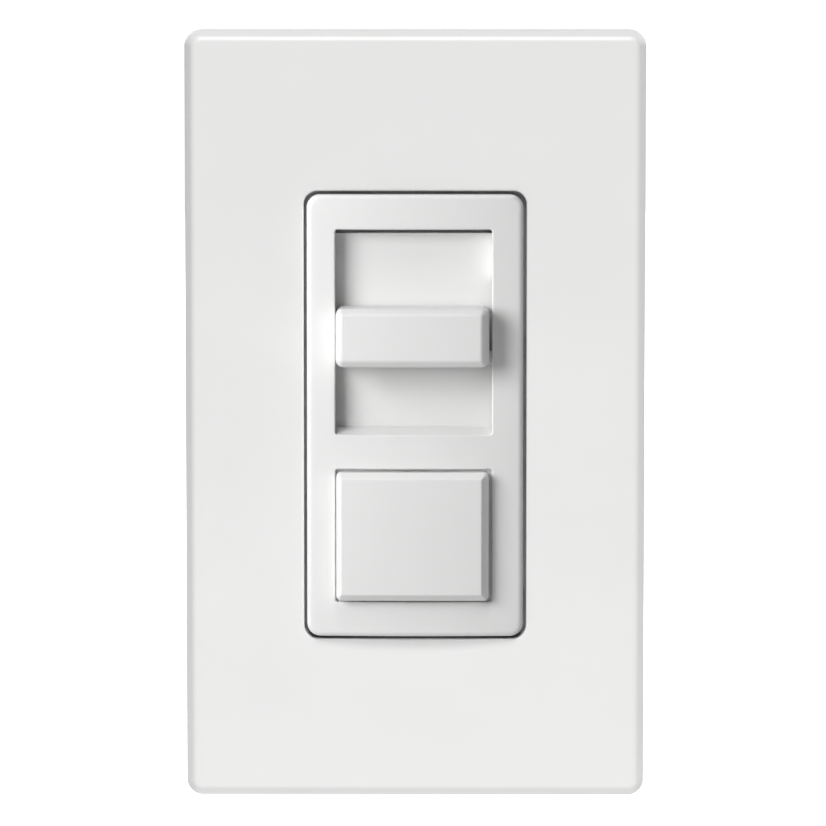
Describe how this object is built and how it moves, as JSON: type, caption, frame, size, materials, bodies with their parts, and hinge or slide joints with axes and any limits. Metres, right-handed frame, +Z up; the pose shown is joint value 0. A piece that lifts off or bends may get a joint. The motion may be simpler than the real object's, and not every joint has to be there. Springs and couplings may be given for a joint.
{
  "type": "slide dimmer switch",
  "caption": "Wall-mounted slide dimmer: wide sliding knob in a recess, large push pad, slim bezel, screwless clip-on cover, metal strap and rear housing with screw terminals.",
  "frame": {"origin": "middle of the device on the finished wall plane, where the strap's ears and the cover's back rim meet the wall", "axes": "+X to the right seen from the front, +Y into the wall box, +Z up; the front faces -Y"},
  "size_m": [0.0684, 0.0404, 0.1142],
  "materials": {
    "cover_plastic": "satin",
    "adapter_plastic": "matte",
    "bezel_plastic": "satin",
    "floor_plastic": "satin",
    "knob_plastic": "satin",
    "button_plastic": "satin",
    "carriage_plastic": "matte",
    "black_plastic": "matte",
    "switch_plastic": "matte",
    "housing_plastic": "satin",
    "strap_aluminium": "brushed",
    "screw_steel": "satin",
    "spring_steel": "satin",
    "terminal_brass": "satin",
    "contact_silver": "gloss",
    "ground_green": "satin",
    "fibre_board": "matte",
    "board_laminate": "satin",
    "choke_ferrite": "satin",
    "winding_copper": "gloss",
    "film_yellow": "satin",
    "diac_glass": "gloss",
    "resistor_tan": "satin",
    "cutoff_ceramic": "matte"
  },
  "bodies": {
    "device": {"wallplate_cover": "cover_plastic", "wallplate_adapter": "adapter_plastic", "adapter_screw_top": "screw_steel", "adapter_screw_bottom": "screw_steel", "face_bezel": "bezel_plastic", "track_floor_panel": "floor_plastic", "slide_pot_housing": "screw_steel", "slide_pot_track": "fibre_board", "button_return_spring": "spring_steel", "switch_body": "switch_plastic", "contact_arm_pin": "spring_steel", "fixed_contact": "terminal_brass", "mounting_strap": "strap_aluminium", "box_screw_top": "screw_steel", "box_screw_bottom": "screw_steel", "screw_retainer_washer_top": "fibre_board", "screw_retainer_washer_bottom": "fibre_board", "ground_clamp": "screw_steel", "ground_screw": "ground_green", "rear_housing": "housing_plastic", "housing_rivet_1": "screw_steel", "housing_rivet_2": "screw_steel", "housing_rivet_3": "screw_steel", "housing_rivet_4": "screw_steel", "line_terminal_plate": "terminal_brass", "line_terminal_clamp": "terminal_brass", "line_terminal_screw": "terminal_brass", "load_terminal_plate": "terminal_brass", "load_terminal_clamp": "terminal_brass", "load_terminal_screw": "terminal_brass", "circuit_board": "board_laminate", "triac_tab": "screw_steel", "triac_body": "black_plastic", "triac_rivet": "strap_aluminium", "choke_core": "choke_ferrite", "choke_winding": "winding_copper", "suppression_capacitor": "film_yellow", "timing_capacitor": "film_yellow", "diac": "diac_glass", "resistor_1": "resistor_tan", "resistor_2": "resistor_tan", "resistor_3": "resistor_tan", "thermal_cutoff": "cutoff_ceramic"},
    "slider": {"slider_knob": "knob_plastic", "slider_carriage": "carriage_plastic", "slide_pot_lever": "black_plastic", "slide_pot_wiper": "contact_silver"},
    "pad": {"push_button": "button_plastic", "switch_plunger": "carriage_plastic"},
    "contact": {"contact_arm": "terminal_brass", "moving_contact": "contact_silver"}
  },
  "joints": [
    {"name": "slider_travel", "type": "slide", "parent": "device", "child": "slider", "axis": [0, 0, 1], "range_m": [-0.0092, 0.0104]},
    {"name": "button_press", "type": "slide", "parent": "device", "child": "pad", "axis": [0, 1, 0], "range_m": [0, 0.0018], "stiffness_N_per_m": 600, "springref_m": -0.0008, "deforming": ["button_return_spring"]},
    {"name": "contact_arm_swing", "type": "hinge", "parent": "device", "child": "contact", "pos_m": [-0.0065, 0.00625, -0.0178], "axis": [0, 0, 1], "range_deg": [0, 8]}
  ],
  "couplings": [
    {"joint": "contact_arm_swing", "follows": "button_press", "rad_per_m": 77.5}
  ]
}
